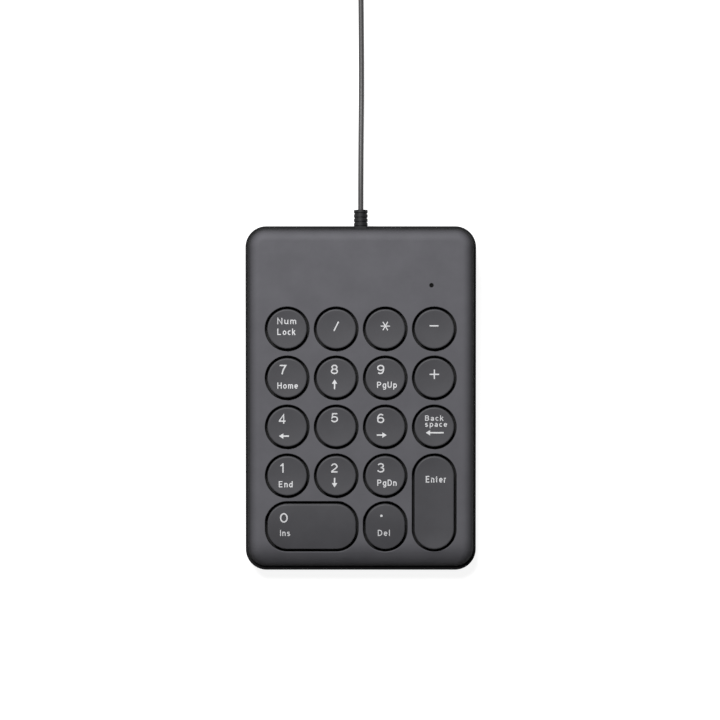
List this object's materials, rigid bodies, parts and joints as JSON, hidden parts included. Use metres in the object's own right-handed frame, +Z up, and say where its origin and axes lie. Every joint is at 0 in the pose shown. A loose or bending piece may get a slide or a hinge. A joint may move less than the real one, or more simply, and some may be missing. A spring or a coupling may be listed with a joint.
{
  "type": "numeric keypad",
  "caption": "Wired numeric keypad with round keys in a sloping case, a dome mat under the keys, a ribbed strain relief and a cable to a USB plug.",
  "frame": {"origin": "on the table under the middle of the case's footprint, at the foot faces", "axes": "+X to the user's right, +Y away from the user towards the cable, +Z up"},
  "size_m": [0.1083, 0.2869, 0.023],
  "materials": {
    "deck_plastic": "fine-grained matte, slightly rubbery",
    "case_plastic": "fine-grained matte",
    "key_plastic": "fine-grained matte",
    "frame_plastic": "satin",
    "foot_rubber": "matte",
    "dome_silicone": "translucent silicone",
    "membrane_film": "clear polyester film",
    "plate_steel": "zinc-plated",
    "screw_steel": "zinc-plated",
    "bail_steel": "drawn wire",
    "board_laminate": "solder mask",
    "chip_epoxy": "moulded epoxy",
    "component_ceramic": "ceramic and metal",
    "led_epoxy": "clear epoxy",
    "pipe_acrylic": "clear acrylic",
    "bar_plastic": "satin",
    "pad_rubber": "foam rubber",
    "header_nylon": "nylon",
    "wire_jacket": "vinyl",
    "cord_jacket": "matte vinyl",
    "relief_rubber": "matte vinyl",
    "tie_fabric": "hook-and-loop",
    "plug_plastic": "moulded vinyl",
    "shell_steel": "nickel-plated",
    "insulator_plastic": "moulded",
    "contact_gold": "gold-plated"
  },
  "bodies": {
    "housing": {"top_case": "deck_plastic", "bottom_case": "case_plastic", "rubber_feet": "foot_rubber", "case_screws": "screw_steel", "key_frame": "frame_plastic", "dome_mat": "dome_silicone", "membrane_top": "membrane_film", "membrane_spacer": "membrane_film", "membrane_bottom": "membrane_film", "support_plate": "plate_steel", "frame_screws": "screw_steel", "controller_board": "board_laminate", "controller_chip": "chip_epoxy", "board_components": "component_ceramic", "board_screws": "screw_steel", "indicator_led": "led_epoxy", "light_pipe": "pipe_acrylic", "pressure_bar": "bar_plastic", "pressure_pad": "pad_rubber", "board_header": "header_nylon", "wire_plug": "header_nylon", "usb_wires": "wire_jacket", "inner_cable": "cord_jacket", "strain_relief": "relief_rubber", "cord": "cord_jacket", "cord_coil": "cord_jacket", "cord_tie": "tie_fabric", "cord_tail": "cord_jacket", "plug_body": "plug_plastic", "plug_shell": "shell_steel", "plug_insulator": "insulator_plastic", "plug_contacts": "contact_gold"},
    "key_num_lock_body": {"key_num_lock": "key_plastic"},
    "key_divide_body": {"key_divide": "key_plastic"},
    "key_multiply_body": {"key_multiply": "key_plastic"},
    "key_minus_body": {"key_minus": "key_plastic"},
    "key_7_body": {"key_7": "key_plastic"},
    "key_8_body": {"key_8": "key_plastic"},
    "key_9_body": {"key_9": "key_plastic"},
    "key_plus_body": {"key_plus": "key_plastic"},
    "key_4_body": {"key_4": "key_plastic"},
    "key_5_body": {"key_5": "key_plastic"},
    "key_6_body": {"key_6": "key_plastic"},
    "key_backspace_body": {"key_backspace": "key_plastic"},
    "key_1_body": {"key_1": "key_plastic"},
    "key_2_body": {"key_2": "key_plastic"},
    "key_3_body": {"key_3": "key_plastic"},
    "key_0_body": {"key_0": "key_plastic"},
    "key_decimal_body": {"key_decimal": "key_plastic"},
    "key_enter_body": {"key_enter": "key_plastic"},
    "zero_bail_body": {"zero_bail": "bail_steel"},
    "enter_bail_body": {"enter_bail": "bail_steel"}
  },
  "joints": [
    {"name": "key_num_lock_press", "type": "slide", "parent": "housing", "child": "key_num_lock_body", "axis": [0, -0.0785, 0.9969], "range_m": [-0.0022, 0], "stiffness_N_per_m": 200, "springref_m": 0.001, "deforming": ["dome_mat"]},
    {"name": "key_divide_press", "type": "slide", "parent": "housing", "child": "key_divide_body", "axis": [0, -0.0785, 0.9969], "range_m": [-0.0022, 0], "stiffness_N_per_m": 200, "springref_m": 0.001, "deforming": ["dome_mat"]},
    {"name": "key_multiply_press", "type": "slide", "parent": "housing", "child": "key_multiply_body", "axis": [0, -0.0785, 0.9969], "range_m": [-0.0022, 0], "stiffness_N_per_m": 200, "springref_m": 0.001, "deforming": ["dome_mat"]},
    {"name": "key_minus_press", "type": "slide", "parent": "housing", "child": "key_minus_body", "axis": [0, -0.0785, 0.9969], "range_m": [-0.0022, 0], "stiffness_N_per_m": 200, "springref_m": 0.001, "deforming": ["dome_mat"]},
    {"name": "key_7_press", "type": "slide", "parent": "housing", "child": "key_7_body", "axis": [0, -0.0785, 0.9969], "range_m": [-0.0022, 0], "stiffness_N_per_m": 200, "springref_m": 0.001, "deforming": ["dome_mat"]},
    {"name": "key_8_press", "type": "slide", "parent": "housing", "child": "key_8_body", "axis": [0, -0.0785, 0.9969], "range_m": [-0.0022, 0], "stiffness_N_per_m": 200, "springref_m": 0.001, "deforming": ["dome_mat"]},
    {"name": "key_9_press", "type": "slide", "parent": "housing", "child": "key_9_body", "axis": [0, -0.0785, 0.9969], "range_m": [-0.0022, 0], "stiffness_N_per_m": 200, "springref_m": 0.001, "deforming": ["dome_mat"]},
    {"name": "key_plus_press", "type": "slide", "parent": "housing", "child": "key_plus_body", "axis": [0, -0.0785, 0.9969], "range_m": [-0.0022, 0], "stiffness_N_per_m": 200, "springref_m": 0.001, "deforming": ["dome_mat"]},
    {"name": "key_4_press", "type": "slide", "parent": "housing", "child": "key_4_body", "axis": [0, -0.0785, 0.9969], "range_m": [-0.0022, 0], "stiffness_N_per_m": 200, "springref_m": 0.001, "deforming": ["dome_mat"]},
    {"name": "key_5_press", "type": "slide", "parent": "housing", "child": "key_5_body", "axis": [0, -0.0785, 0.9969], "range_m": [-0.0022, 0], "stiffness_N_per_m": 200, "springref_m": 0.001, "deforming": ["dome_mat"]},
    {"name": "key_6_press", "type": "slide", "parent": "housing", "child": "key_6_body", "axis": [0, -0.0785, 0.9969], "range_m": [-0.0022, 0], "stiffness_N_per_m": 200, "springref_m": 0.001, "deforming": ["dome_mat"]},
    {"name": "key_backspace_press", "type": "slide", "parent": "housing", "child": "key_backspace_body", "axis": [0, -0.0785, 0.9969], "range_m": [-0.0022, 0], "stiffness_N_per_m": 200, "springref_m": 0.001, "deforming": ["dome_mat"]},
    {"name": "key_1_press", "type": "slide", "parent": "housing", "child": "key_1_body", "axis": [0, -0.0785, 0.9969], "range_m": [-0.0022, 0], "stiffness_N_per_m": 200, "springref_m": 0.001, "deforming": ["dome_mat"]},
    {"name": "key_2_press", "type": "slide", "parent": "housing", "child": "key_2_body", "axis": [0, -0.0785, 0.9969], "range_m": [-0.0022, 0], "stiffness_N_per_m": 200, "springref_m": 0.001, "deforming": ["dome_mat"]},
    {"name": "key_3_press", "type": "slide", "parent": "housing", "child": "key_3_body", "axis": [0, -0.0785, 0.9969], "range_m": [-0.0022, 0], "stiffness_N_per_m": 200, "springref_m": 0.001, "deforming": ["dome_mat"]},
    {"name": "key_0_press", "type": "slide", "parent": "housing", "child": "key_0_body", "axis": [0, -0.0785, 0.9969], "range_m": [-0.0022, 0], "stiffness_N_per_m": 200, "springref_m": 0.0012, "deforming": ["dome_mat"]},
    {"name": "key_decimal_press", "type": "slide", "parent": "housing", "child": "key_decimal_body", "axis": [0, -0.0785, 0.9969], "range_m": [-0.0022, 0], "stiffness_N_per_m": 200, "springref_m": 0.001, "deforming": ["dome_mat"]},
    {"name": "key_enter_press", "type": "slide", "parent": "housing", "child": "key_enter_body", "axis": [0, -0.0785, 0.9969], "range_m": [-0.0022, 0], "stiffness_N_per_m": 200, "springref_m": 0.0012, "deforming": ["dome_mat"]},
    {"name": "zero_bail_turn", "type": "hinge", "parent": "housing", "child": "zero_bail_body", "pos_m": [-0.019, -0.05452, 0.01], "axis": [1, 0, 0], "range_deg": [-13.2, 0.2]},
    {"name": "enter_bail_turn", "type": "hinge", "parent": "housing", "child": "enter_bail_body", "pos_m": [0.0335, -0.04027, 0.01112], "axis": [0, 0.9969, 0.0785], "range_deg": [-13.2, 0.2]}
  ],
  "couplings": [
    {"joint": "zero_bail_turn", "follows": "key_0_press", "rad_per_m": 100.83},
    {"joint": "enter_bail_turn", "follows": "key_enter_press", "rad_per_m": 100.83}
  ]
}
